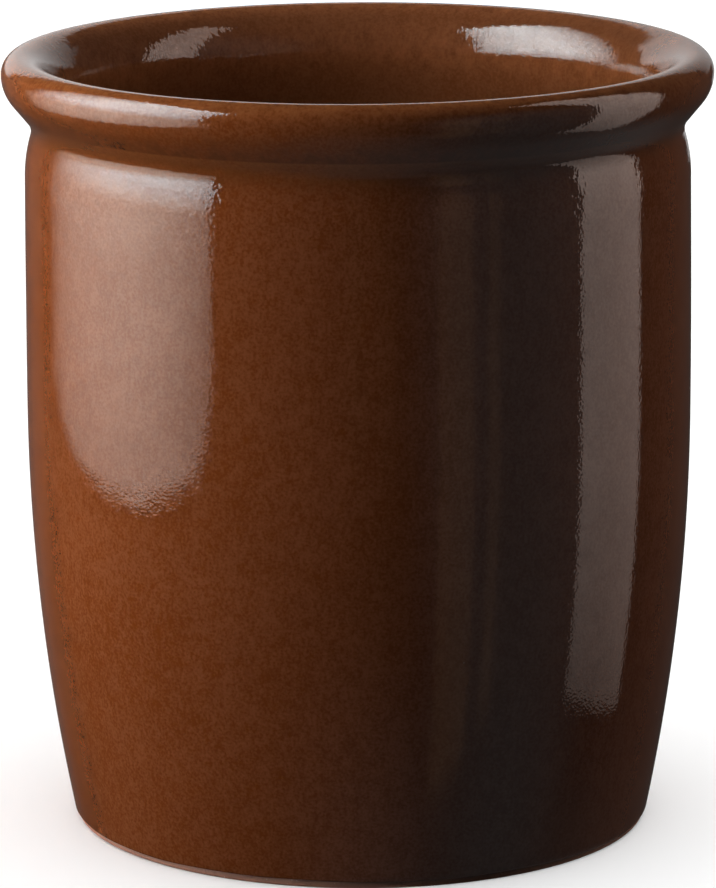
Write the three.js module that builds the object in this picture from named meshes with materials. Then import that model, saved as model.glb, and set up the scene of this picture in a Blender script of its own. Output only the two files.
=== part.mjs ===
// A one-litre preserving crock: one turned stoneware pot with a rolled rim, glazed brown
// inside and out, with a bare clay foot. Millimetres, +Z up. The origin is on the table, at
// the middle of the foot. Outside and inside sizes are those of the finished, glazed surface.
import * as THREE from "three";

// Overall
const HEIGHT = 137.4; // table to the crest of the rim
const RIM_DIAMETER = 124.8; // widest circle of the crock, round the nose of the rim

// Rolled rim
const RIM_DEPTH = 12.7; // crest down to the corner of the neck
const RIM_OVERHANG = 5.5; // nose of the rim out from the neck
const NOSE_DROP = 3.4; // crest down to the widest circle
const NOSE_ROUND = 2.6; // reach of the rounding under the nose
const CREST_INSET = 3.2; // crest circle in from the nose
const LIP_DROP = 9.2; // crest down to where the lip has turned into the bore
const NECK_ROUND = 2.1; // reach of the rounding in the neck

// Body
const SHOULDER_DROP = 9; // neck down to where the shoulder has turned upright
const SHOULDER_SWELL = 1.65; // turned shoulder out from the neck
const BARREL_DROP = 41.7; // turned shoulder down to the belly
const BARREL_SWELL = 0.25; // belly, the widest circle of the wall, out from the shoulder
const FOOT_TAPER = 7.55; // foot in from the belly
const WALL = 6.7; // clay and both coats, at the belly
const FLOOR = 7; // table to the inside floor
const FLOOR_FILLET = 9; // radius where the wall runs into the floor

// Foot
const FOOT_BEVEL = 0.5; // chamfer round the standing ring
const FOOT_RING = 7; // width of the standing ring
const FOOT_RECESS = 1.2; // hollow turned under the floor

// Glaze
const GLAZE = 0.4; // thickness of each coat
const GLAZE_LINE = 1.5; // table to the lower edge of the outer coat

// Facets round the pot, and along each curve of its outline
const FACETS = 60;
const STEPS = { wall: 4, barrel: 2, shoulder: 3, neck: 3, nose: 4, crest: 5, lip: 6, fillet: 5 };

// Circles and heights that the sizes above give
const rimRadius = RIM_DIAMETER / 2;
const crestRadius = rimRadius - CREST_INSET;
const neckRadius = rimRadius - RIM_OVERHANG;
const shoulderRadius = neckRadius + SHOULDER_SWELL;
const bellyRadius = shoulderRadius + BARREL_SWELL;
const boreRadius = bellyRadius - WALL;
const noseHeight = HEIGHT - NOSE_DROP;
const lipHeight = HEIGHT - LIP_DROP;
const neckHeight = HEIGHT - RIM_DEPTH;
const shoulderHeight = neckHeight - SHOULDER_DROP;
const bellyHeight = shoulderHeight - BARREL_DROP;

// Radius of an arc that starts upright and leans by a distance across over a length along
const arcRadius = (across, along) => (across ** 2 + along ** 2) / (2 * across);

// The wall below the belly is such an arc, and it reaches the foot at the table. The inside of
// the wall and the clay under the glaze share its centre.
const wallRadius = arcRadius(FOOT_TAPER, bellyHeight);
const wallCentre = new THREE.Vector2(bellyRadius - wallRadius, bellyHeight);
const wallReach = (radius, height) =>
  wallCentre.x + Math.sqrt(radius ** 2 - (height - wallCentre.y) ** 2);

const point = (radius, height) => new THREE.Vector2(radius, height);
const line = (from, to) => new THREE.LineCurve(from, to);
const blend = (from, corner, to) => new THREE.QuadraticBezierCurve(from, corner, to);
const arc = (centre, across, up, start, end) =>
  new THREE.EllipseCurve(centre.x, centre.y, across, up, start, end, end < start);

// The finished outside, from the glaze line up to the crest, as curves with their steps
function outsideCurves() {
  const shoulderArc = arcRadius(SHOULDER_SWELL, SHOULDER_DROP);
  const shoulderCentre = point(shoulderRadius - shoulderArc, shoulderHeight);
  const neckTurn = Math.asin(SHOULDER_DROP / shoulderArc);
  const barrelArc = arcRadius(BARREL_SWELL, BARREL_DROP);
  const barrelCentre = point(bellyRadius - barrelArc, bellyHeight);
  const barrelTurn = Math.asin(BARREL_DROP / barrelArc);
  const neck = point(neckRadius, neckHeight);
  const underNose = point(rimRadius, noseHeight - NOSE_ROUND);
  const underside = underNose.clone().sub(neck).normalize();
  const wallStart = Math.asin((GLAZE_LINE - bellyHeight) / wallRadius);

  const wall = arc(wallCentre, wallRadius, wallRadius, wallStart, 0);
  const barrel = arc(barrelCentre, barrelArc, barrelArc, 0, barrelTurn);
  const shoulderEnd = neckTurn - NECK_ROUND / shoulderArc;
  const shoulder = arc(shoulderCentre, shoulderArc, shoulderArc, 0, shoulderEnd);
  const neckOut = neck.clone().addScaledVector(underside, NECK_ROUND);
  const neckBend = blend(shoulder.getPoint(1), neck, neckOut);
  const noseIn = underNose.clone().addScaledVector(underside, -NOSE_ROUND);
  const collar = line(neckOut, noseIn);
  const nose = blend(noseIn, underNose, point(rimRadius, noseHeight));
  const crest = arc(point(crestRadius, noseHeight), CREST_INSET, NOSE_DROP, 0, Math.PI / 2);
  return [
    [wall, STEPS.wall],
    [barrel, STEPS.barrel],
    [shoulder, STEPS.shoulder],
    [neckBend, STEPS.neck],
    [collar, 1],
    [nose, STEPS.nose],
    [crest, STEPS.crest],
  ];
}

// The finished inside, from the crest down to the middle of the floor
function insideCurves() {
  const insideRadius = wallRadius - WALL;
  const filletHeight = FLOOR + FLOOR_FILLET;
  const filletCentre = point(wallReach(insideRadius - FLOOR_FILLET, filletHeight), filletHeight);
  const filletTurn = filletCentre.clone().sub(wallCentre);
  const filletStart = Math.atan2(filletTurn.y, filletTurn.x);

  const lip = arc(
    point(crestRadius, lipHeight), crestRadius - boreRadius, LIP_DROP, Math.PI / 2, Math.PI,
  );
  const bore = line(point(boreRadius, lipHeight), point(boreRadius, bellyHeight));
  const wall = arc(wallCentre, insideRadius, insideRadius, 0, filletStart);
  const fillet = arc(filletCentre, FLOOR_FILLET, FLOOR_FILLET, filletStart, -Math.PI / 2);
  const floor = line(point(filletCentre.x, FLOOR), point(0, FLOOR));
  return [
    [lip, STEPS.lip],
    [bore, 1],
    [wall, STEPS.wall],
    [fillet, STEPS.fillet],
    [floor, 1],
  ];
}

// Samples curves that join end to end. Each sample holds the finished surface and, one coat
// of glaze below it, the surface of the clay.
function sample(curves) {
  const samples = [];
  curves.forEach(([curve, steps], which) => {
    for (let step = which === 0 ? 0 : 1; step <= steps; step += 1) {
      const along = step / steps;
      const finish = curve.getPoint(along);
      const heading = curve.getTangent(along);
      const clay = point(finish.x - GLAZE * heading.y, finish.y + GLAZE * heading.x);
      samples.push({ finish, clay });
    }
  });
  return samples;
}

// Turns a profile of (radius, height) points about the vertical axis
function turned(name, profile, material) {
  const geometry = new THREE.LatheGeometry(profile, FACETS);
  geometry.rotateX(Math.PI / 2);
  const mesh = new THREE.Mesh(geometry, material);
  mesh.name = name;
  return mesh;
}

const outside = sample(outsideCurves());
const inside = sample(insideCurves());
const finishOf = (samples) => samples.map(({ finish }) => finish);
const clayOf = (samples) => samples.map(({ clay }) => clay);

// The fired clay: hollow underside, standing ring, bare foot, wall, rim and floor
function stonewareBody(material) {
  const bevelRadius = wallReach(wallRadius - GLAZE, FOOT_BEVEL);
  const standRadius = bevelRadius - FOOT_BEVEL;
  const ringRadius = standRadius - FOOT_RING;
  const foot = [
    point(0, FOOT_RECESS),
    point(ringRadius - FOOT_RECESS, FOOT_RECESS),
    point(ringRadius, 0),
    point(standRadius, 0),
    point(bevelRadius, FOOT_BEVEL),
  ];
  const profile = [...foot, ...clayOf(outside), ...clayOf(inside).slice(1)];
  return turned("stoneware_body", profile, material);
}

// The coat on the outside, from the glaze line to the crest, closed on itself
function outerGlaze(material) {
  const profile = [...finishOf(outside), ...clayOf(outside).reverse(), outside[0].finish];
  return turned("outer_glaze", profile, material);
}

// The coat on the inside, from the crest to the middle of the floor
function linerGlaze(material) {
  const profile = [...clayOf(inside).reverse(), ...finishOf(inside)];
  return turned("liner_glaze", profile, material);
}

const bareClay = new THREE.MeshStandardMaterial({ color: "#a8755e", roughness: 0.85, metalness: 0 });
const outerBrown = new THREE.MeshStandardMaterial({ color: "#73401f", roughness: 0.15, metalness: 0 });
const linerBrown = new THREE.MeshStandardMaterial({ color: "#6a381c", roughness: 0.18, metalness: 0 });

const crock = new THREE.Group();
crock.name = "preserving_crock";
crock.add(stonewareBody(bareClay), outerGlaze(outerBrown), linerGlaze(linerBrown));

export default crock;
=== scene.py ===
"""Looks of a one-litre preserving crock: a turned stoneware pot, glazed brown, with a bare foot.

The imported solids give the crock's place and its main sizes. The clay and its two coats of glaze
are surfaces of revolution on a grid of outline and angle, with the slight unevenness of a pot
that was turned by hand. Metres, +Z up, the front along -Y.
"""
import logging
import math
from dataclasses import dataclass
from enum import Enum

import bpy
import numpy as np
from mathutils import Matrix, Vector


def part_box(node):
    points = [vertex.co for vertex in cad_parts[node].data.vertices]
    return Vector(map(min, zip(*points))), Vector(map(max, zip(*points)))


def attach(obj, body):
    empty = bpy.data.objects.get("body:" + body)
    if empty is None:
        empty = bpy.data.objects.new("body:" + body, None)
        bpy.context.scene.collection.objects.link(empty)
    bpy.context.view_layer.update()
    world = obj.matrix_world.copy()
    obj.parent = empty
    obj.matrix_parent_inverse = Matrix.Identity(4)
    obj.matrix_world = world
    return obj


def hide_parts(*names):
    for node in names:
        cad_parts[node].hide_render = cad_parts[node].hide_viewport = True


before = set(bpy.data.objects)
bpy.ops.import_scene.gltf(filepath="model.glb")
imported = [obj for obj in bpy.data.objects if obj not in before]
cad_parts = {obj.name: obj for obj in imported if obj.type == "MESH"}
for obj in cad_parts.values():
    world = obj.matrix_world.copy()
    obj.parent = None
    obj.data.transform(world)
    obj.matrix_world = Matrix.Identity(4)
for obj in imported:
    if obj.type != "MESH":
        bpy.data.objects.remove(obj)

LOG = logging.getLogger("preserving_crock")
BODY = "root"
MM = 0.001
FULL_TURN = 2.0 * math.pi
THIN = "thin_glaze"
# Mesh attribute for glaze pooled under the rim, together with painted shade under the rim's overhang.
POOLED_AND_SHADE = "pooled_glaze_and_shade"

Array = np.ndarray
Triple = tuple[float, float, float]
Colour = Triple


class Piece(Enum):
    """The separate pieces of the crock: CAD node, material slot."""

    CLAY = ("stoneware_body", "bare_stoneware")
    OUTER = ("outer_glaze", "outer_brown_glaze")
    LINER = ("liner_glaze", "liner_brown_glaze")

    @property
    def node(self) -> str:
        """Name of the CAD node that the piece stands for."""
        return self.value[0]

    @property
    def slot(self) -> str:
        """Name of the record's material slot."""
        return self.value[1]


class Facing(Enum):
    """Direction in which a lamp panel shines."""

    RIGHT = (1.0, 0.0, 0.0)
    LEFT = (-1.0, 0.0, 0.0)
    FRONT = (0.0, -1.0, 0.0)
    BACK = (0.0, 1.0, 0.0)


class Scalar:
    """A float socket. Arithmetic on it adds Math nodes to its tree."""

    def __init__(self, tree: "ShaderTree", socket: bpy.types.NodeSocket) -> None:
        """Keeps the socket and the tree that it belongs to."""
        self.tree = tree
        self.socket = socket

    def _math(self, operation: str, first: "Scalar | float", second: "Scalar | float") -> "Scalar":
        """Result of one Math node, with Blender's name of its operation and its two terms."""
        node = self.tree.node("ShaderNodeMath", {"operation": operation}, {0: first, 1: second})
        return Scalar(self.tree, node.outputs[0])

    def __add__(self, other: "Scalar | float") -> "Scalar":
        """Sum."""
        return self._math("ADD", self, other)

    __radd__ = __add__

    def __sub__(self, other: "Scalar | float") -> "Scalar":
        """Difference."""
        return self._math("SUBTRACT", self, other)

    def __rsub__(self, other: float) -> "Scalar":
        """Difference from a number."""
        return self._math("SUBTRACT", other, self)

    def __mul__(self, other: "Scalar | float") -> "Scalar":
        """Product."""
        return self._math("MULTIPLY", self, other)

    __rmul__ = __mul__

    def __pow__(self, other: "Scalar | float") -> "Scalar":
        """Power."""
        return self._math("POWER", self, other)

    def at_most(self, limit: float) -> "Scalar":
        """The smaller of the value and a limit."""
        return self._math("MINIMUM", self, limit)

    def at_least(self, limit: float) -> "Scalar":
        """The larger of the value and a limit."""
        return self._math("MAXIMUM", self, limit)

    def rise(self, start: float, end: float) -> "Scalar":
        """Smooth step.

        Args:
            start: Value that gives 0.
            end: Value that gives 1. It may be below start, for a fall.

        Returns:
            The value from 0 to 1.
        """
        low, high = min(start, end), max(start, end)
        bottom, top = (0.0, 1.0) if start < end else (1.0, 0.0)
        node = self.tree.node(
            "ShaderNodeMapRange",
            {"interpolation_type": "SMOOTHSTEP"},
            {"Value": self, "From Min": low, "From Max": high, "To Min": bottom, "To Max": top},
        )
        return Scalar(self.tree, node.outputs["Result"])


class ShaderTree:
    """A node tree that is written as expressions."""

    def __init__(self, owner: bpy.types.Material | bpy.types.World | bpy.types.Light) -> None:
        """Turns the owner's nodes on and empties its tree."""
        owner.use_nodes = True
        self.tree = owner.node_tree
        self.tree.nodes.clear()

    def node(self, kind: str, settings: dict | None = None, inputs: dict | None = None) -> bpy.types.Node:
        """Adds any node.

        Args:
            kind: Blender's type of the node.
            settings: Properties of the node, which are set first.
            inputs: Values or links for its sockets, by name or number.

        Returns:
            The new node.
        """
        node = self.tree.nodes.new(kind)
        for name, value in (settings or {}).items():
            setattr(node, name, value)
        for name, value in (inputs or {}).items():
            socket = value.socket if isinstance(value, Scalar) else value
            if isinstance(socket, bpy.types.NodeSocket):
                self.tree.links.new(socket, node.inputs[name])
            elif isinstance(socket, tuple) and node.inputs[name].type == "RGBA":
                node.inputs[name].default_value = (*socket, 1.0)
            else:
                node.inputs[name].default_value = socket
        return node

    def object_coords(self, stretch: Triple = (1.0, 1.0, 1.0)) -> bpy.types.NodeSocket:
        """Object coordinates, scaled along each axis by stretch."""
        coords = self.node("ShaderNodeTexCoord").outputs["Object"]
        if stretch == (1.0, 1.0, 1.0):
            return coords
        scaled = self.node("ShaderNodeVectorMath", {"operation": "MULTIPLY"}, {0: coords, 1: stretch})
        return scaled.outputs[0]

    def height(self) -> Scalar:
        """Height above the table, in metres."""
        split = self.node("ShaderNodeSeparateXYZ", None, {0: self.object_coords()})
        return Scalar(self, split.outputs["Z"])

    def noise(self, coords: bpy.types.NodeSocket, wavelength: float, detail: float = 2.0) -> Scalar:
        """Smooth noise about zero.

        Args:
            coords: Coordinates in metres.
            wavelength: Size of its features, in metres.
            detail: Octaves of finer noise on top.

        Returns:
            The noise, mostly from -0.3 to 0.3.
        """
        inputs = {"Vector": coords, "Scale": 1.0 / wavelength, "Detail": detail, "Roughness": 0.55}
        node = self.node("ShaderNodeTexNoise", {"noise_dimensions": "3D"}, inputs)
        return Scalar(self, node.outputs["Fac"]) - 0.5

    def spots(self, coords: bpy.types.NodeSocket, spacing: float, radius: float, share: float) -> Scalar:
        """Scattered round spots, in some of the cells of a Voronoi pattern.

        Args:
            coords: Coordinates in metres.
            spacing: Size of a cell, in metres.
            radius: Radius of a spot, in metres.
            share: Share of the cells that hold a spot.

        Returns:
            1 inside a spot and 0 outside, with a soft edge.
        """
        inputs = {"Vector": coords, "Scale": 1.0 / spacing}
        node = self.node("ShaderNodeTexVoronoi", {"feature": "F1"}, inputs)
        near = Scalar(self, node.outputs["Distance"]).rise(radius / spacing, 0.4 * radius / spacing)
        pick = self.node("ShaderNodeSeparateColor", None, {"Color": node.outputs["Color"]})
        return near * Scalar(self, pick.outputs["Red"]).rise(1.0 - share, 1.02 - share)

    def attribute(self, name: str) -> Scalar:
        """A float attribute of the mesh."""
        node = self.node("ShaderNodeAttribute", {"attribute_name": name})
        return Scalar(self, node.outputs["Fac"])

    def mix(
        self,
        factor: Scalar,
        first: Colour | bpy.types.NodeSocket,
        second: Colour | bpy.types.NodeSocket,
    ) -> bpy.types.NodeSocket:
        """Mixes two colours.

        Args:
            factor: Share of the second colour.
            first: Colour at 0.
            second: Colour at 1.

        Returns:
            The mixed colour.
        """
        # The node's colour sockets go by number, because its three kinds share their names.
        settings = {"data_type": "RGBA", "clamp_factor": True}
        node = self.node("ShaderNodeMix", settings, {"Factor": factor, 6: first, 7: second})
        return node.outputs[2]

    def bump(self, height: Scalar) -> bpy.types.NodeSocket:
        """Normal of a relief whose height is in metres."""
        return self.node("ShaderNodeBump", None, {"Height": height, "Distance": 1.0}).outputs["Normal"]

    def surface(self, kind: str, inputs: dict) -> None:
        """Adds a shader of one kind and links it to the material's or world's surface."""
        shader = self.node(kind, None, inputs)
        world = kind == "ShaderNodeBackground"
        output = self.node("ShaderNodeOutputWorld" if world else "ShaderNodeOutputMaterial")
        self.tree.links.new(shader.outputs[0], output.inputs["Surface"])


@dataclass(frozen=True)
class BrownGlaze:
    """Glossy brown stoneware glaze: mottled, iron-specked, with orange peel and an uneven shine.

    Spots are given as spacing, radius and share of the cells that hold one.
    """

    deep: Colour = (0.1455, 0.0332, 0.0055)
    bright: Colour = (0.1955, 0.0573, 0.0195)
    thin: Colour = (0.300, 0.098, 0.026)
    # Darker glaze under the rim: pooled glaze and painted shade.
    pooled_and_shaded: Colour = (0.105, 0.028, 0.006)
    iron: Colour = (0.040, 0.017, 0.010)
    pin_hole: Colour = (0.480, 0.360, 0.270)
    iron_spots: Triple = (1.5 * MM, 0.22 * MM, 0.5)
    pin_spots: Triple = (9.0 * MM, 0.2 * MM, 0.25)
    pin_depth: float = 0.03 * MM
    roughness: float = 0.038
    dull_index: float = 1.45
    keen_index: float = 1.65
    cloud: float = 17.0 * MM
    mottle: float = 3.0 * MM
    streak: float = 0.9 * MM
    grain: float = 0.5 * MM
    peel: float = 2.4 * MM
    peel_height: float = 0.004 * MM
    ripple: float = 0.45 * MM
    ripple_height: float = 0.0108 * MM
    dimple: float = 1.0 * MM
    dimple_height: float = 0.006 * MM
    upper_height: float = 0.038 * MM
    upper_start: float = 110.0 * MM
    upper_end: float = 118.0 * MM

    def material(self, name: str) -> bpy.types.Material:
        """Makes the glaze as a node material.

        Args:
            name: Name of the material.

        Returns:
            The material.
        """
        material = bpy.data.materials.new(name)
        tree = ShaderTree(material)
        here = tree.object_coords()
        runs = tree.object_coords((1.0, 1.0, 0.5))
        cloud = tree.noise(here, self.cloud)
        mottle = tree.noise(here, self.mottle, 3.0)
        streak = tree.noise(runs, self.streak)
        grain = tree.noise(here, self.grain, 1.0)
        dimple = tree.noise(here, self.dimple, 1.0)
        upper = tree.height().rise(self.upper_start, self.upper_end)

        tone = 0.5 + cloud * 0.9 + mottle * 1.2 + streak * 1.3 + grain * 2.3 + upper * dimple * 0.8
        colour = tree.mix(tone, self.deep, self.bright)
        # Darker under the rim and in the neck: pooled glaze and painted shade under the overhang.
        pooled_and_shaded = tree.attribute(POOLED_AND_SHADE) * (0.85 + mottle * 1.6 + streak)
        colour = tree.mix(pooled_and_shaded.at_least(0.0), colour, self.pooled_and_shaded)
        thin = tree.attribute(THIN) * (0.65 + mottle * 1.4 + streak + grain * 0.6)
        colour = tree.mix(thin.at_least(0.0), colour, self.thin)
        iron = tree.spots(here, *self.iron_spots)
        colour = tree.mix(iron * 0.15, colour, self.iron)
        pin_holes = tree.spots(here, *self.pin_spots)
        colour = tree.mix(pin_holes * 0.8, colour, self.pin_hole)

        peel = tree.noise(here, self.peel, 1.0) * self.peel_height
        ripple = tree.noise(here, self.ripple, 0.0) * self.ripple_height
        depth = self.dimple_height + upper * (self.upper_height - self.dimple_height)
        relief = peel + ripple + dimple * depth - pin_holes * self.pin_depth
        inputs = {
            "Base Color": colour,
            "Roughness": self.roughness + mottle * 0.03,
            "Normal": tree.bump(relief),
        }
        dull = tree.node("ShaderNodeBsdfPrincipled", None, {**inputs, "IOR": self.dull_index})
        keen = tree.node("ShaderNodeBsdfPrincipled", None, {**inputs, "IOR": self.keen_index})
        shine = 0.5 + cloud * 0.45 + mottle * 0.65 + streak * 0.45 + grain * 0.6
        tree.surface("ShaderNodeMixShader", {"Fac": shine, 1: dull.outputs[0], 2: keen.outputs[0]})
        return material


@dataclass(frozen=True)
class BareClay:
    """Unglazed fired stoneware: a matt, gritty, pinkish brown."""

    base: Colour = (0.330, 0.165, 0.110)
    flashed: Colour = (0.430, 0.165, 0.095)
    grit: Colour = (0.520, 0.380, 0.290)
    dark: Colour = (0.150, 0.075, 0.050)
    flash_start: float = 1.04 * MM
    flash_full: float = 0.24 * MM
    cloud: float = 7.0 * MM
    grain: float = 0.45 * MM
    grain_height: float = 0.05 * MM
    lump: float = 1.6 * MM
    lump_height: float = 0.05 * MM
    grit_spots: Triple = (0.9 * MM, 0.16 * MM, 0.35)
    grit_height: float = 0.02 * MM

    def material(self, name: str) -> bpy.types.Material:
        """Makes the clay as a node material, redder along its lowest edge.

        Args:
            name: Name of the material.

        Returns:
            The material.
        """
        material = bpy.data.materials.new(name)
        tree = ShaderTree(material)
        here = tree.object_coords()
        cloud = tree.noise(here, self.cloud, 3.0)
        grain = tree.noise(here, self.grain)
        low = tree.height().rise(self.flash_start, self.flash_full)
        colour = tree.mix(low * 0.8, self.base, self.flashed)
        colour = tree.mix((cloud + grain * 1.4).at_least(0.0), colour, self.dark)
        grit = tree.spots(here, *self.grit_spots)
        colour = tree.mix(grit * 0.6, colour, self.grit)
        lump = tree.noise(here, self.lump)
        relief = grain * self.grain_height + lump * self.lump_height + grit * self.grit_height
        inputs = {
            "Base Color": colour,
            "Roughness": 0.86 + grain * 0.15,
            "IOR": 1.45,
            "Normal": tree.bump(relief),
        }
        tree.surface("ShaderNodeBsdfPrincipled", inputs)
        return material


@dataclass(frozen=True)
class PaleStage:
    """Plain matt pale surface of the floor."""

    colour: Colour = (0.985, 0.985, 0.985)

    def material(self, name: str) -> bpy.types.Material:
        """Makes the floor's matt material with that name."""
        material = bpy.data.materials.new(name)
        ShaderTree(material).surface("ShaderNodeBsdfDiffuse", {"Color": self.colour})
        return material


def arc(centre: tuple[float, float], across: float, up: float, turn: Array) -> Array:
    """Part of an ellipse: centre plus across times cosine, and up times sine, of each turn."""
    return np.stack([centre[0] + across * np.cos(turn), centre[1] + up * np.sin(turn)], axis=1)


def straight(start: Array, end: Array, steps: int) -> Array:
    """Even points on a line, as start plus a share of the way to the end."""
    share = np.linspace(0.0, 1.0, steps + 1)[:, None]
    return start + share * (end - start)


def bend(start: Array, corner: Array, end: Array, steps: int) -> Array:
    """Quadratic Bezier curve from start to end, pulled towards the corner."""
    share = np.linspace(0.0, 1.0, steps + 1)[:, None]
    return (1 - share) ** 2 * start + 2 * share * (1 - share) * corner + share**2 * end


def joined(*curves: Array) -> Array:
    """Joins curves end to end, with each shared point once."""
    return np.concatenate([curves[0], *[curve[1:] for curve in curves[1:]]])


def arc_radius(across: float, along: float) -> float:
    """Radius of an arc that starts upright and leans by across over a length along."""
    return (across**2 + along**2) / (2.0 * across)


def below(outline: Array, depth: float) -> Array:
    """Outline moved to its left, which is into the pot, by a depth along its own normals.

    Args:
        outline: Rows of radius and height.
        depth: Distance to move, in metres.

    Returns:
        The moved rows.
    """
    heading = np.gradient(outline, axis=0)
    heading /= np.linalg.norm(heading, axis=1, keepdims=True)
    return outline + depth * np.stack([-heading[:, 1], heading[:, 0]], axis=1)


@dataclass(frozen=True)
class CrockForm:
    """Outlines of the crock. Sizes are of the finished, glazed surface."""

    height: float
    rim_radius: float
    glaze: float
    glaze_line: float
    floor: float
    rim_depth: float = 12.7 * MM
    rim_overhang: float = 5.5 * MM
    nose_drop: float = 3.4 * MM
    nose_round: float = 2.6 * MM
    crest_inset: float = 3.2 * MM
    lip_drop: float = 9.2 * MM
    neck_round: float = 2.1 * MM
    shoulder_drop: float = 9.0 * MM
    shoulder_swell: float = 1.65 * MM
    barrel_drop: float = 41.7 * MM
    barrel_swell: float = 0.25 * MM
    foot_taper: float = 7.55 * MM
    wall: float = 6.7 * MM
    floor_fillet: float = 9.0 * MM
    foot_bevel: float = 0.5 * MM
    foot_ring: float = 7.0 * MM
    foot_recess: float = 1.2 * MM
    floor_ring: float = 0.06 * MM
    floor_ring_spacing: float = 5.0 * MM
    recess_ring: float = 0.05 * MM
    recess_ring_spacing: float = 3.0 * MM

    @classmethod
    def from_frame(cls) -> "CrockForm":
        """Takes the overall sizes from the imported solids."""
        clay_low, clay_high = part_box(Piece.CLAY.node)
        coat_low, coat_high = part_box(Piece.OUTER.node)
        liner_low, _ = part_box(Piece.LINER.node)
        glaze = coat_high.z - clay_high.z
        return cls(coat_high.z, coat_high.x, glaze, coat_low.z, liner_low.z + glaze)

    @property
    def crest_radius(self) -> float:
        """Radius of the highest circle of the rim."""
        return self.rim_radius - self.crest_inset

    @property
    def neck_radius(self) -> float:
        """Radius in the corner under the rim."""
        return self.rim_radius - self.rim_overhang

    @property
    def shoulder_radius(self) -> float:
        """Radius where the shoulder has turned upright."""
        return self.neck_radius + self.shoulder_swell

    @property
    def belly_radius(self) -> float:
        """Radius of the widest circle of the wall."""
        return self.shoulder_radius + self.barrel_swell

    @property
    def neck_height(self) -> float:
        """Height of the corner under the rim."""
        return self.height - self.rim_depth

    @property
    def shoulder_height(self) -> float:
        """Height at which the shoulder has turned upright."""
        return self.neck_height - self.shoulder_drop

    @property
    def belly_height(self) -> float:
        """Height of the widest circle of the wall."""
        return self.shoulder_height - self.barrel_drop

    @property
    def wall_radius(self) -> float:
        """Radius of the wall's arc below the belly."""
        return arc_radius(self.foot_taper, self.belly_height)

    @property
    def wall_centre(self) -> tuple[float, float]:
        """Centre of the wall's arc, which the inside of the wall shares."""
        return self.belly_radius - self.wall_radius, self.belly_height

    def wall_reach(self, radius: float, height: float) -> float:
        """Distance from the axis of an arc about the wall's centre, at a height."""
        return self.wall_centre[0] + math.sqrt(radius**2 - (height - self.wall_centre[1]) ** 2)

    def outside(self) -> Array:
        """Finished outside, from the glaze line up to the crest.

        The wall is three arcs: up to the belly, the barrel, and the shoulder. The neck and the
        underside of the rim are Bezier bends, and the crest is a quarter ellipse with finer steps
        near the top.

        Returns:
            Rows of radius and height.
        """
        barrel_arc = arc_radius(self.barrel_swell, self.barrel_drop)
        barrel_centre = (self.belly_radius - barrel_arc, self.belly_height)
        barrel_turn = math.asin(self.barrel_drop / barrel_arc)
        shoulder_arc = arc_radius(self.shoulder_swell, self.shoulder_drop)
        shoulder_centre = (self.shoulder_radius - shoulder_arc, self.shoulder_height)
        neck = np.array([self.neck_radius, self.neck_height])
        nose_height = self.height - self.nose_drop
        under_nose = np.array([self.rim_radius, nose_height - self.nose_round])
        underside = (under_nose - neck) / np.linalg.norm(under_nose - neck)
        neck_turn = math.asin(self.shoulder_drop / shoulder_arc) - self.neck_round / shoulder_arc
        wall_turn = math.asin((self.glaze_line - self.belly_height) / self.wall_radius)

        wall = arc(self.wall_centre, self.wall_radius, self.wall_radius, np.linspace(wall_turn, 0.0, 71))
        barrel = arc(barrel_centre, barrel_arc, barrel_arc, np.linspace(0.0, barrel_turn, 41))
        shoulder = arc(shoulder_centre, shoulder_arc, shoulder_arc, np.linspace(0.0, neck_turn, 15))
        neck_out = neck + self.neck_round * underside
        neck_bend = bend(shoulder[-1], neck, neck_out, 10)
        nose_in = under_nose - self.nose_round * underside
        collar = straight(neck_out, nose_in, 10)
        nose = bend(nose_in, under_nose, np.array([self.rim_radius, nose_height]), 14)
        ease = np.sin(np.linspace(0.0, math.pi / 2, 33))
        crest_centre = (self.crest_radius, nose_height)
        crest = arc(crest_centre, self.crest_inset, self.nose_drop, ease * math.pi / 2)
        return joined(wall, barrel, shoulder, neck_bend, collar, nose, crest)

    def inside(self) -> Array:
        """Finished inside, from the crest down to the middle of the floor.

        The lip is a quarter ellipse with finer steps near the crest, then come the upright bore,
        the wall's arc and the fillet into the floor, which has faint turning rings.

        Returns:
            Rows of radius and height.
        """
        bore = self.belly_radius - self.wall
        lip_height = self.height - self.lip_drop
        inner_radius = self.wall_radius - self.wall
        fillet_height = self.floor + self.floor_fillet
        fillet_across = self.wall_reach(inner_radius - self.floor_fillet, fillet_height)
        turn = math.atan2(fillet_height - self.wall_centre[1], fillet_across - self.wall_centre[0])

        ease = 1.0 - np.cos(np.linspace(0.0, math.pi / 2, 41))
        lip_turn = math.pi / 2 * (1.0 + ease)
        lip = arc((self.crest_radius, lip_height), self.crest_radius - bore, self.lip_drop, lip_turn)
        upright = straight(lip[-1], np.array([bore, self.belly_height]), 40)
        wall = arc(self.wall_centre, inner_radius, inner_radius, np.linspace(0.0, turn, 41))
        fillet_turn = np.linspace(turn, -math.pi / 2, 19)
        fillet = arc((fillet_across, fillet_height), self.floor_fillet, self.floor_fillet, fillet_turn)
        floor = straight(fillet[-1], np.array([0.0, self.floor]), 60)
        rings = self.floor_ring * np.sin(FULL_TURN * floor[:, 0] / self.floor_ring_spacing)
        floor[:, 1] += rings * np.clip(1.0 - floor[:, 0] / fillet_across, 0.0, 1.0)
        return joined(lip, upright, wall, fillet, floor)

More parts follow.
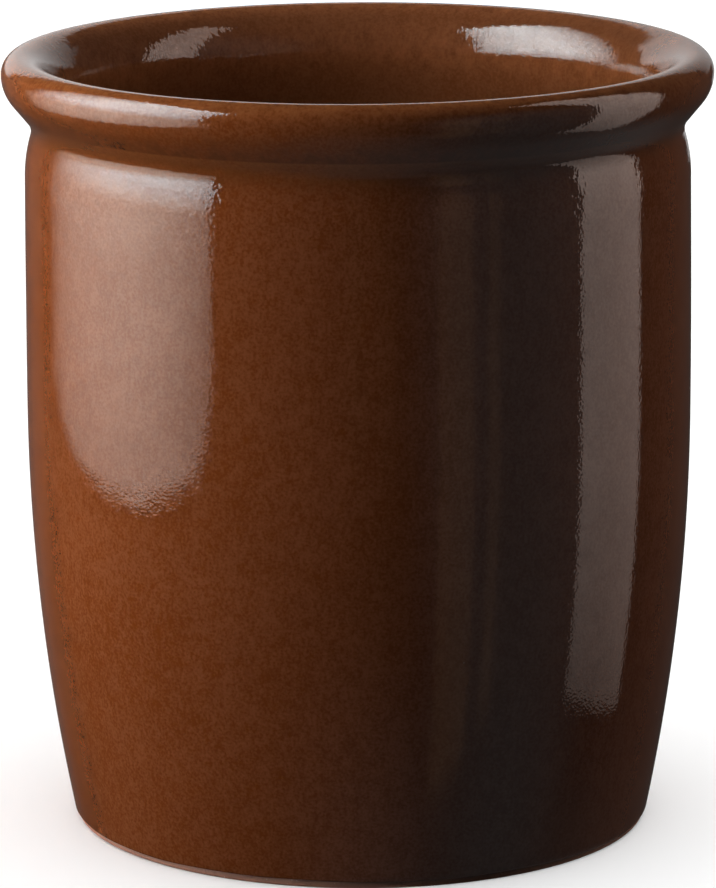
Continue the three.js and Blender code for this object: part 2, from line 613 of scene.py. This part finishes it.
    def foot(self) -> Array:
        """Bare foot, from the middle of the underside out to the top of its rounded edge.

        A shallow recess with faint turning rings and a soft step, the flat standing ring, and a
        rounded edge as a quarter circle.

        Returns:
            Rows of radius and height.
        """
        clay_radius = self.wall_radius - self.glaze
        edge = self.wall_reach(clay_radius, self.foot_bevel)
        stand = edge - self.foot_bevel
        ring = stand - self.foot_ring
        step = ring - 2.0 * self.foot_recess
        hollow = straight(np.array([0.0, self.foot_recess]), np.array([step, self.foot_recess]), 40)
        rings = self.recess_ring * np.sin(FULL_TURN * hollow[:, 0] / self.recess_ring_spacing)
        hollow[:, 1] += rings * (hollow[:, 0] < step)
        share = np.linspace(0.0, 1.0, 13)
        fall = self.foot_recess * (1.0 + np.cos(math.pi * share)) / 2.0
        recess = np.stack([step + share * (ring - step), fall], axis=1)
        standing = straight(recess[-1], np.array([stand, 0.0]), 8)
        turn = np.linspace(-math.pi / 2, 0.0, 9)
        rounded = arc((stand, self.foot_bevel), self.foot_bevel, self.foot_bevel, turn)
        return joined(hollow, recess, standing, rounded)


@dataclass(frozen=True)
class HandTurning:
    """Slight unevenness of a hand-turned pot, the same for its clay and its coats."""

    height: float
    lean: float = 0.62 * MM
    tilt: float = 0.0050
    oval: float = 0.10 * MM
    wave: float = 0.002 * MM
    waves: int = 18
    seed: int = 11
    ring: float = 0.0015 * MM
    ring_spacing: float = 6.3 * MM
    settled_height: float = 12.0 * MM
    settled_radius: float = 20.0 * MM

    def placed(self, radius: Array, height: Array, angle: Array) -> Array:
        """Puts an even surface of revolution where the uneven pot has it.

        The radius gains an oval, low waves whose phase runs with angle and height, and rings, all
        of which die out towards the table and the axis. The axis leans to the left with height,
        and the tilt of each circle grows with the square of its height.

        Args:
            radius: Distances from the axis, one row for each point of the outline.
            height: Heights above the table, of the same shape.
            angle: Angles round the axis, one for each column.

        Returns:
            Coordinates, with x, y and z in the last axis.
        """
        draw = np.random.default_rng(self.seed)
        rounds = draw.integers(4, 20, self.waves)
        rates = FULL_TURN / (draw.uniform(18.0, 70.0, self.waves) * MM)
        phases = draw.uniform(0.0, FULL_TURN, self.waves)
        phase = rounds * angle[..., None] + rates * height[..., None] + phases
        share = height / self.height
        swell = self.oval * share * np.sin(2.0 * angle) + self.wave * np.cos(phase).sum(axis=-1)
        swell = swell + self.ring * np.sin(FULL_TURN * height / self.ring_spacing)
        near_table = np.clip(height / self.settled_height, 0.0, 1.0)
        near_axis = np.clip(radius / self.settled_radius, 0.0, 1.0)
        across = radius + swell * (near_table * near_axis)
        x = across * np.cos(angle)
        y = across * np.sin(angle)
        return np.stack([x - self.lean * share, y, height + self.tilt * x * share**2], axis=-1)


@dataclass(frozen=True)
class Turned:
    """A closed surface of revolution as a mesh."""

    outline: Array
    corners: Array
    looped: bool
    columns: int = 320
    wander: float = 0.09 * MM

    def _faces(self, rows: int) -> tuple[Array, Array]:
        """Indices of the faces.

        Args:
            rows: Number of rings of vertices.

        Returns:
            Quads between rings, and the triangles that close the two poles of an open outline.
        """
        ring = np.arange(self.columns)
        after = np.roll(ring, -1)
        low = np.arange(rows if self.looped else rows - 1)[:, None]
        high = (low + 1) % rows
        low, high = low * self.columns, high * self.columns
        quads = np.stack([low + ring, low + after, high + after, high + ring], axis=-1).reshape(-1, 4)
        if self.looped:
            return quads, np.empty((0, 3), int)
        first, last = rows * self.columns, rows * self.columns + 1
        top = (rows - 1) * self.columns
        start = np.stack([np.full_like(ring, first), after, ring], axis=-1)
        end = np.stack([top + ring, top + after, np.full_like(ring, last)], axis=-1)
        return quads, np.concatenate([start, end])

    def mesh(self, name: str, form: HandTurning, tones: dict[str, Array], drift: Array) -> bpy.types.Mesh:
        """Turns the outline and writes the mesh.

        Args:
            name: Name of the mesh.
            form: Unevenness of the pot.
            tones: Values for each point of the outline, by the name of their attribute.
            drift: Share of the glaze line's wander that each point of the outline takes.

        Returns:
            The mesh, smooth but for the rings marked as corners.
        """
        body = slice(None) if self.looped else slice(1, -1)
        radius, height = self.outline[body].T
        angle = np.linspace(0.0, FULL_TURN, self.columns, endpoint=False)[None, :]
        waves = np.sin(3.0 * angle + 0.4) + 0.7 * np.sin(7.0 * angle + 2.0) + 0.4 * np.sin(17.0 * angle)
        lift = self.wander * drift[body][:, None] * waves
        across = np.broadcast_to(radius[:, None], lift.shape)
        around = np.broadcast_to(angle, lift.shape)
        grid = form.placed(across, height[:, None] + lift, around)
        points = grid.reshape(-1, 3)
        quads, fans = self._faces(len(radius))
        if not self.looped:
            poles = np.array([[0.0, 0.0, self.outline[0, 1]], [0.0, 0.0, self.outline[-1, 1]]])
            points = np.concatenate([points, poles])

        mesh = bpy.data.meshes.new(name)
        corners = np.concatenate([quads.ravel(), fans.ravel()])
        sizes = np.concatenate([np.full(len(quads), 4), np.full(len(fans), 3)])
        mesh.vertices.add(len(points))
        mesh.vertices.foreach_set("co", points.ravel())
        mesh.loops.add(len(corners))
        mesh.loops.foreach_set("vertex_index", corners.astype(np.int32))
        mesh.polygons.add(len(sizes))
        mesh.polygons.foreach_set("loop_start", (np.cumsum(sizes) - sizes).astype(np.int32))
        mesh.update(calc_edges=True)
        mesh.shade_smooth()
        for tone, values in tones.items():
            spread = np.repeat(values[body], self.columns)
            spread = spread if self.looped else np.concatenate([spread, values[[0, -1]]])
            mesh.attributes.new(tone, "FLOAT", "POINT").data.foreach_set("value", spread)

        ends = np.empty(len(mesh.edges) * 2, np.int32)
        mesh.edges.foreach_get("vertices", ends)
        ends = ends.reshape(-1, 2)
        row = np.minimum(ends // self.columns, len(radius) - 1)
        along_ring = (row[:, 0] == row[:, 1]) & (ends.max(axis=1) < grid.size // 3)
        sharp = along_ring & self.corners[body][row[:, 0]]
        mesh.attributes.new("sharp_edge", "BOOLEAN", "EDGE").data.foreach_set("value", sharp)
        mesh.validate()
        return mesh


@dataclass(frozen=True)
class Crock:
    """The pot: its clay body and the two coats of glaze on it."""

    form: CrockForm
    turning: HandTurning
    glaze: BrownGlaze = BrownGlaze()
    # The liner is the outer glaze with lighter, greyer colours; that shift is painted sheen, standing in
    # for the dim reflections that grey the inside.
    liner: BrownGlaze = BrownGlaze(
        deep=(0.152, 0.047, 0.0145), bright=(0.180, 0.0635, 0.0245), thin=(0.365, 0.122, 0.042)
    )
    clay: BareClay = BareClay()
    thin_reach: float = 3.2 * MM
    break_drop: float = 7.5 * MM
    break_reach: float = 4.5 * MM
    break_share: float = 0.50
    # Band of pooled glaze and painted shade under the rim: its drop below the top and its reach.
    pool_shade_drop: float = 10.0 * MM
    pool_shade_reach: float = 4.5 * MM
    edge_reach: float = 1.4 * MM
    bead_stretch: float = 1.4

    def _thin(self, outline: Array) -> Array:
        """How thin the glaze has run: most on the crest, and some in a band inside, below the lip.

        Each falls off with the square of the distance, as an exponential.

        Args:
            outline: Rows of radius and height.

        Returns:
            1 on the crest and 0 far from both.
        """
        crest = np.array([self.form.crest_radius, self.form.height])
        reach = np.linalg.norm(outline - crest, axis=1) / self.thin_reach
        drop = (self.form.height - outline[:, 1] - self.break_drop) / self.break_reach
        inner = outline[:, 0] < self.form.crest_radius
        return np.exp(-(reach**2)).clip(self.break_share * inner * np.exp(-(drop**2)))

    def _pooled_and_shaded(self, outline: Array) -> Array:
        """How much glaze has gathered, with painted shade under the rim's overhang: most under the rim
        and in the neck, outside alone.

        It falls off with the square of the height from there, as an exponential.

        Args:
            outline: Rows of radius and height.

        Returns:
            1 where the glaze is thickest and the painted shade deepest, and 0 far from there.
        """
        drop = (self.form.height - outline[:, 1] - self.pool_shade_drop) / self.pool_shade_reach
        outer = outline[:, 0] > self.form.neck_radius - self.form.glaze
        return outer * np.exp(-(drop**2))

    def _piece(
        self, piece: Piece, turned: Turned, drift: Array, material: bpy.types.Material
    ) -> bpy.types.Object:
        """Makes a piece's object and ties it to the frame.

        Args:
            piece: Which piece it is.
            turned: Its surface.
            drift: Share of the glaze line's wander for each point of the outline.
            material: Its finish.

        Returns:
            The object, at the origin.
        """
        tones = {THIN: self._thin(turned.outline), POOLED_AND_SHADE: self._pooled_and_shaded(turned.outline)}
        mesh = turned.mesh(piece.node + "_finished", self.turning, tones, drift)
        mesh.materials.append(material)
        obj = bpy.data.objects.new(mesh.name, mesh)
        bpy.context.scene.collection.objects.link(obj)
        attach(obj, BODY)
        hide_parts(piece.node)
        return obj

    def clay_body(self) -> bpy.types.Object:
        """The fired clay: bare foot, then the surface under both coats, as one closed outline."""
        foot = self.form.foot()
        outer = below(self.form.outside(), self.form.glaze)[::4]
        inner = below(self.form.inside(), self.form.glaze)[::4]
        crest = np.array([self.form.crest_radius, self.form.height - self.form.glaze])
        middle = np.array([[0.0, self.form.floor - self.form.glaze]])
        outline = np.concatenate([foot, outer[:-1], crest[None], inner[1:-1], middle])
        corners = np.zeros(len(outline), bool)
        turned = Turned(outline, corners, looped=False)
        material = self.clay.material(Piece.CLAY.slot)
        return self._piece(Piece.CLAY, turned, np.zeros(len(outline)), material)

    def outer_coat(self) -> bpy.types.Object:
        """The outer coat: finished outside up to the crest, back down the clay, round lower bead."""
        finish = self.form.outside()
        clay = below(finish, self.form.glaze)
        clay[-1] = (self.form.crest_radius, self.form.height - self.form.glaze)
        lower = (finish[0] + clay[0]) / 2.0
        across = finish[0] - lower
        turn = np.linspace(0.0, math.pi, 9)[1:-1, None]
        down = np.array([[across[1], -across[0]]])
        bead = lower - across * np.cos(turn) + self.bead_stretch * down * np.sin(turn)
        hidden = clay[::-1][::4]
        outline = np.concatenate([finish, hidden[:-1], clay[:1], bead])
        corners = np.zeros(len(outline), bool)
        corners[[len(finish) - 1, len(finish)]] = True
        drift = np.exp(-((outline[:, 1] - self.form.glaze_line).clip(0.0) / self.edge_reach))
        turned = Turned(outline, corners, looped=True)
        return self._piece(Piece.OUTER, turned, drift, self.glaze.material(Piece.OUTER.slot))

    def liner_coat(self) -> bpy.types.Object:
        """The inner coat: up the clay from the middle of the floor, and down the finished inside."""
        finish = self.form.inside()
        clay = below(finish, self.form.glaze)
        clay[0] = (self.form.crest_radius, self.form.height - self.form.glaze)
        clay[-1] = (0.0, self.form.floor - self.form.glaze)
        hidden = np.concatenate([clay[::-1][:-1:4], clay[:1]])
        outline = np.concatenate([hidden, finish])
        corners = np.zeros(len(outline), bool)
        corners[[len(hidden) - 1, len(hidden)]] = True
        turned = Turned(outline, corners, looped=False)
        material = self.liner.material(Piece.LINER.slot)
        return self._piece(Piece.LINER, turned, np.zeros(len(outline)), material)

    def build(self) -> list[bpy.types.Object]:
        """Builds and dresses the three pieces, from the clay outwards."""
        return [self.clay_body(), self.outer_coat(), self.liner_coat()]


@dataclass(frozen=True)
class Panel:
    """A soft rectangular lamp with a place and a size in metres."""

    name: str
    centre: Triple
    width: float
    height: float
    facing: Facing
    radiance: float
    colour: Colour = (1.0, 1.0, 1.0)
    lights: bool = True
    mirrored: bool = True

    def pattern(self, across: Scalar, depth: Scalar, height: Scalar) -> Scalar | float:
        """Share of its radiance that the lamp has at a place along x, y and z: the same all over."""
        return 1.0

    def build(self, pot: bpy.types.Collection) -> bpy.types.Object:
        """Makes the lamp.

        Args:
            pot: What the lamp lights, which alone shades it.

        Returns:
            The lamp.
        """
        light = bpy.data.lights.new(self.name, "AREA")
        light.shape = "RECTANGLE"
        light.size = self.width
        light.size_y = self.height
        light.energy = math.pi * self.width * self.height
        light.color = self.colour
        tree = ShaderTree(light)
        place = tree.node("ShaderNodeNewGeometry").outputs["Position"]
        split = tree.node("ShaderNodeSeparateXYZ", None, {0: place})
        share = self.pattern(*[Scalar(tree, socket) for socket in split.outputs])
        emission = tree.node("ShaderNodeEmission", None, {"Strength": share * self.radiance})
        output = tree.node("ShaderNodeOutputLight")
        tree.tree.links.new(emission.outputs[0], output.inputs["Surface"])

        lamp = bpy.data.objects.new(self.name, light)
        lamp.location = self.centre
        lamp.rotation_euler = Vector(self.facing.value).to_track_quat("-Z", "Y").to_euler()
        lamp.visible_camera = False
        lamp.visible_diffuse = self.lights
        lamp.visible_glossy = self.mirrored
        lamp.light_linking.receiver_collection = pot
        lamp.light_linking.blocker_collection = pot
        bpy.context.scene.collection.objects.link(lamp)
        return lamp


@dataclass(frozen=True)
class Softbox(Panel):
    """The main lamp: a large box to the left, weaker towards its sides and soft along its foot."""

    peak: float = -0.12
    back_end: float = 0.70
    back_reach: float = 0.66
    front_reach: float = 0.68
    front_fall: float = 0.5
    foot: float = 0.045
    full_height: float = 0.415
    top_start: float = 1.42
    top_end: float = 1.50

    def pattern(self, across: Scalar, depth: Scalar, height: Scalar) -> Scalar:
        """Full along the peak line, falling off behind and ahead of it, with soft ends.

        Args:
            across: Place along x.
            depth: Place along y.
            height: Place along z.

        Returns:
            The share.
        """
        ahead = ((self.peak - depth) * (1.0 / self.front_reach)).at_least(0.0)
        behind = ((self.back_end - depth) * (1.0 / self.back_reach)).at_least(0.0).at_most(1.0)
        sides = behind * (1.0 - ahead * ahead * self.front_fall)
        ends = height.rise(self.foot, self.full_height) * height.rise(self.top_end, self.top_start)
        return sides * ends


@dataclass(frozen=True)
class LeftCard(Panel):
    """The card below the softbox: weaker at its foot and sides, with a sloping lower edge."""

    peak: float = -0.070
    back_reach: float = 0.29
    back_power: float = 1.35
    back_share: float = 0.1
    front_reach: float = 0.23
    front_fall: float = 0.62
    full_height: float = 0.080
    foot_share: float = 0.60
    line_low: tuple[float, float] = (0.056, 0.063)
    line_high: tuple[float, float] = (0.071, 0.064)
    line_share: float = 0.25
    foot: float = -0.016
    foot_slope: float = 0.075
    foot_middle: float = -0.09
    foot_edge: float = 0.0015
    corner: float = -0.225
    corner_rate: float = 17.7
    corner_lift: float = 0.01
    fade_start: float = 0.135
    fade_end: float = 0.180

    def pattern(self, across: Scalar, depth: Scalar, height: Scalar) -> Scalar:
        """Full along the peak line, falling off with distance behind and ahead of it.

        It rises from foot_share at the table to 1 at the full height, with a faint brighter line
        across it, and fades out at its top. Its lower edge slopes up behind its middle and is
        rounded off at its front corner.

        Args:
            across: Place along x.
            depth: Place along y.
            height: Place along z.

        Returns:
            The share.
        """
        behind = ((depth - self.peak) * (1.0 / self.back_reach)).at_least(0.0).at_most(1.0)
        ahead = ((self.peak - depth) * (1.0 / self.front_reach)).at_least(0.0)
        back = (1.0 - behind**self.back_power).at_least(self.back_share)
        sides = back * (1.0 - ahead * ahead * self.front_fall)
        lift = (height * (1.0 / self.full_height)).at_least(0.0).at_most(1.0)
        line = height.rise(*self.line_low) * height.rise(*self.line_high)
        level = self.foot_share + lift * (1.0 - self.foot_share) + line * self.line_share
        rounding = ((self.corner - depth) * self.corner_rate).at_least(0.0)
        slope = (depth - self.foot_middle).at_least(0.0) * self.foot_slope
        foot = self.foot + slope + rounding**2.0 * self.corner_lift
        edge = (height - foot).rise(-self.foot_edge, self.foot_edge)
        ends = edge * height.rise(self.fade_end, self.fade_start)
        return sides * level * ends


@dataclass(frozen=True)
class GradedPanel(Panel):
    """A panel whose brightness changes in a straight line, across it or up it."""

    level: float = 1.0
    slope_across: float = 0.0
    slope_up: float = 0.0
    least: float = 0.1
    most: float = 1.5

    def pattern(self, across: Scalar, depth: Scalar, height: Scalar) -> Scalar:
        """The level at the middle of the table, plus each slope times the distance, within limits."""
        share = self.level + across * self.slope_across + height * self.slope_up
        return share.at_least(self.least).at_most(self.most)


@dataclass(frozen=True)
class Doorway(Panel):
    """A dim opening in front of the pot, in upright strips between dark posts.

    Each strip is its left side, right side, brightness and foot.
    """

    strips: tuple[tuple[float, float, float, float], ...] = (
        (-0.024, 0.011, 0.70, -0.040),
        (0.059, 0.088, 0.45, -0.050),
        (0.240, 0.390, 1.25, -0.330),
        (0.466, 0.540, 1.00, -0.330),
    )
    edge: float = 0.014
    foot_edge: float = 0.02

    def pattern(self, across: Scalar, depth: Scalar, height: Scalar) -> Scalar:
        """Lit between the sides of each strip, above its foot, and dark elsewhere.

        Args:
            across: Place along x.
            depth: Place along y.
            height: Place along z.

        Returns:
            The share.
        """
        total = 0.0
        for left, right, level, foot in self.strips:
            start = across.rise(left - self.edge, left + self.edge)
            end = across.rise(right + self.edge, right - self.edge)
            total = total + start * end * height.rise(foot, foot + self.foot_edge) * level
        return total


@dataclass(frozen=True)
class Studio:
    """Plain studio: camera, pale floor and backdrop, and soft panels round the pot."""

    camera_distance: float = 958.5 * MM
    camera_elevation: float = 12.833
    camera_side: float = -0.53 * MM
    aim_height: float = 66.68 * MM
    focal_pixels: float = 5384.1
    frame_pixels: float = 888.0
    sensor: float = 36.0
    floor_radius: float = 6.0
    dome_radius: float = 7.5
    dome_rise: float = 0.9
    room_light: float = 0.03
    room_right: float = 0.12
    right_way: tuple[float, float] = (0.839, -0.545)
    right_edge: tuple[float, float] = (0.70, 0.95)
    room_back: float = 0.045
    back_way: tuple[float, float] = (-0.34, 0.94)
    back_edge: tuple[float, float] = (0.90, 0.97)
    room_low: float = 0.09
    low_edge: tuple[float, float] = (0.35, 0.70)
    low_side: tuple[float, float] = (-0.60, 0.0)
    floor_fill: float = 0.90
    floor_shade: float = 0.11
    sun_spread: float = 110.0

    def camera(self) -> bpy.types.Object:
        """Adds the camera, on the line of sight of the photograph."""
        data = bpy.data.cameras.new("camera")
        data.sensor_width = self.sensor
        data.lens = self.focal_pixels * self.sensor / self.frame_pixels
        data.clip_end = 100.0
        elevation = math.radians(self.camera_elevation)
        back = Vector((0.0, -math.cos(elevation), math.sin(elevation)))
        camera = bpy.data.objects.new("camera", data)
        camera.location = Vector((self.camera_side, 0.0, self.aim_height)) + back * self.camera_distance
        camera.rotation_euler = back.to_track_quat("Z", "Y").to_euler()
        bpy.context.scene.collection.objects.link(camera)
        bpy.context.scene.camera = camera
        return camera

    def _disc(self, name: str, rise: float, outer: float) -> bpy.types.Object:
        """A round stage surface: a flat disc for a rise of 0, or a dome over it.

        Args:
            name: Name of the object.
            rise: Share of the radius that its middle stands above its edge.
            outer: Radius of its edge.

        Returns:
            The object, seen by the camera alone.
        """
        rings = np.linspace(0.0, 1.0, 25)[1:, None]
        angle = np.linspace(0.0, FULL_TURN, 96, endpoint=False)[None, :]
        lift = outer * rise * np.sqrt(1.0 - rings**2)
        x, y = outer * rings * np.cos(angle), outer * rings * np.sin(angle)
        grid = np.stack([x, y, np.broadcast_to(lift, x.shape)], axis=-1).reshape(-1, 3)
        columns = angle.size
        ring, after = np.arange(columns), np.roll(np.arange(columns), -1)
        inner = np.arange(rings.size - 1)[:, None] * columns
        beyond = inner + columns
        quads = np.stack([inner + ring, beyond + ring, beyond + after, inner + after], axis=-1)
        middle = len(grid)
        fan = np.stack([np.full_like(ring, middle), ring, after], axis=-1)
        points = np.concatenate([grid, [[0.0, 0.0, outer * rise]]])
        mesh = bpy.data.meshes.new(name)
        mesh.from_pydata(points.tolist(), [], quads.reshape(-1, 4).tolist() + fan.tolist())
        mesh.shade_smooth()
        obj = bpy.data.objects.new(name, mesh)
        obj.visible_diffuse = False
        obj.visible_glossy = False
        bpy.context.scene.collection.objects.link(obj)
        return obj

    def stage(self) -> bpy.types.Object:
        """Adds the pale floor and, beyond it, a dome of the same paleness; gives the floor."""
        floor = self._disc("floor", 0.0, self.floor_radius)
        floor.data.materials.append(PaleStage().material("pale_floor"))
        dome = self._disc("backdrop", self.dome_rise, self.dome_radius)
        dome.visible_shadow = False
        glow = bpy.data.materials.new("pale_backdrop")
        ShaderTree(glow).surface("ShaderNodeEmission", {"Color": PaleStage().colour, "Strength": 1.0})
        dome.data.materials.append(glow)
        return floor

    def surroundings(self) -> None:
        """Sets the dim room that the glaze mirrors: lighter front right, at the back and low down."""
        world = bpy.data.worlds.new("room")
        tree = ShaderTree(world)
        direction = tree.node("ShaderNodeTexCoord").outputs["Generated"]
        split = tree.node("ShaderNodeSeparateXYZ", None, {0: direction})
        x, y, z = [Scalar(tree, socket) for socket in split.outputs]
        to_right = x * self.right_way[0] + y * self.right_way[1]
        to_back = x * self.back_way[0] + y * self.back_way[1]
        right = to_right.rise(*self.right_edge) * self.room_right
        back = to_back.rise(*self.back_edge) * self.room_back
        low = (z * -1.0).rise(*self.low_edge) * x.rise(*self.low_side) * self.room_low
        strength = self.room_light + right + back + low
        tree.surface("ShaderNodeBackground", {"Color": (1.0, 1.0, 1.0), "Strength": strength})
        world.cycles_visibility.diffuse = False
        bpy.context.scene.world = world

    def _floor_sun(self, name: str, share: float, shades: bool, ground: bpy.types.Collection) -> None:
        """Adds a broad sun from above that lights the floor alone.

        Args:
            name: Name of the lamp.
            share: Its part of the light that shows the floor's own colour.
            shades: Whether the pot casts a shadow in it.
            ground: The floor.
        """
        light = bpy.data.lights.new(name, "SUN")
        spread = math.radians(self.sun_spread)
        light.energy = math.pi * share * 2.0 / (1.0 + math.cos(spread / 2.0))
        light.angle = spread
        light.use_shadow = shades
        sun = bpy.data.objects.new(name, light)
        sun.light_linking.receiver_collection = ground
        bpy.context.scene.collection.objects.link(sun)

    def lamps(self, pot: bpy.types.Collection, ground: bpy.types.Collection) -> None:
        """Adds the panels that light the pot, and the suns that light the floor alone.

        Args:
            pot: The pieces of the pot.
            ground: The floor.
        """
        cool, cream = (0.88, 0.97, 1.0), (1.0, 0.89, 0.79)
        warm, wood = (1.0, 0.80, 0.715), (1.0, 0.5, 0.2)
        panels = [
            Softbox(
                "left_softbox", (-1.0, -0.02, 0.765), 1.68, 1.47, Facing.RIGHT, 9.0, cool, lights=False
            ),
            LeftCard(
                "left_card", (-0.33, -0.0445, 0.08), 0.517, 0.2, Facing.RIGHT, 4.15, cream, lights=False
            ),
            Panel("left_fill", (-0.262, -0.048, 0.18), 0.40, 0.36, Facing.RIGHT, 4.05, mirrored=False),
            Panel("high_fill", (-0.262, -0.048, 0.56), 0.40, 0.40, Facing.RIGHT, 2.0, mirrored=False),
            GradedPanel(
                "right_card", (0.245, -0.0125, 0.22), 0.123, 0.57, Facing.LEFT, 1.25, warm,
                lights=False, level=0.62, slope_up=4.7,
            ),
            Panel("right_fill", (0.30, 0.20, 0.26), 0.45, 0.44, Facing.LEFT, 1.48, mirrored=False),
            Panel("front_right_fill", (0.40, -0.35, 0.15), 0.35, 0.40, Facing.LEFT, 0.14, mirrored=False),
            Doorway("doorway", (0.26, -0.5, -0.02), 0.60, 0.62, Facing.BACK, 0.12, wood, lights=False),
            GradedPanel(
                "back_panel", (0.0, 0.5, 0.255), 0.66, 0.24, Facing.FRONT, 0.65,
                slope_across=-2.2, least=0.3,
            ),
            Panel("edge_card", (0.13, 0.5, 0.085), 0.14, 0.09, Facing.FRONT, 0.40, lights=False),
        ]
        for panel in panels:
            panel.build(pot)
        self._floor_sun("floor_fill", self.floor_fill, False, ground)
        self._floor_sun("floor_shade", self.floor_shade, True, ground)

    def build(self, pieces: list[bpy.types.Object]) -> None:
        """Builds the studio round the pot.

        Args:
            pieces: The pieces of the pot.
        """
        self.camera()
        self.surroundings()
        pot = bpy.data.collections.new("pot")
        ground = bpy.data.collections.new("ground")
        ground.objects.link(self.stage())
        for piece in pieces:
            pot.objects.link(piece)
        self.lamps(pot, ground)
        bpy.context.scene.view_settings.view_transform = "Standard"


def main() -> None:
    logging.basicConfig(level=logging.INFO, format="%(name)s: %(message)s")
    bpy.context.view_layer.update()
    form = CrockForm.from_frame()
    pieces = Crock(form, HandTurning(form.height)).build()
    for piece in pieces:
        LOG.info("%s has %d faces", piece.name, len(piece.data.polygons))
    Studio().build(pieces)


if __name__ == "__main__":
    main()
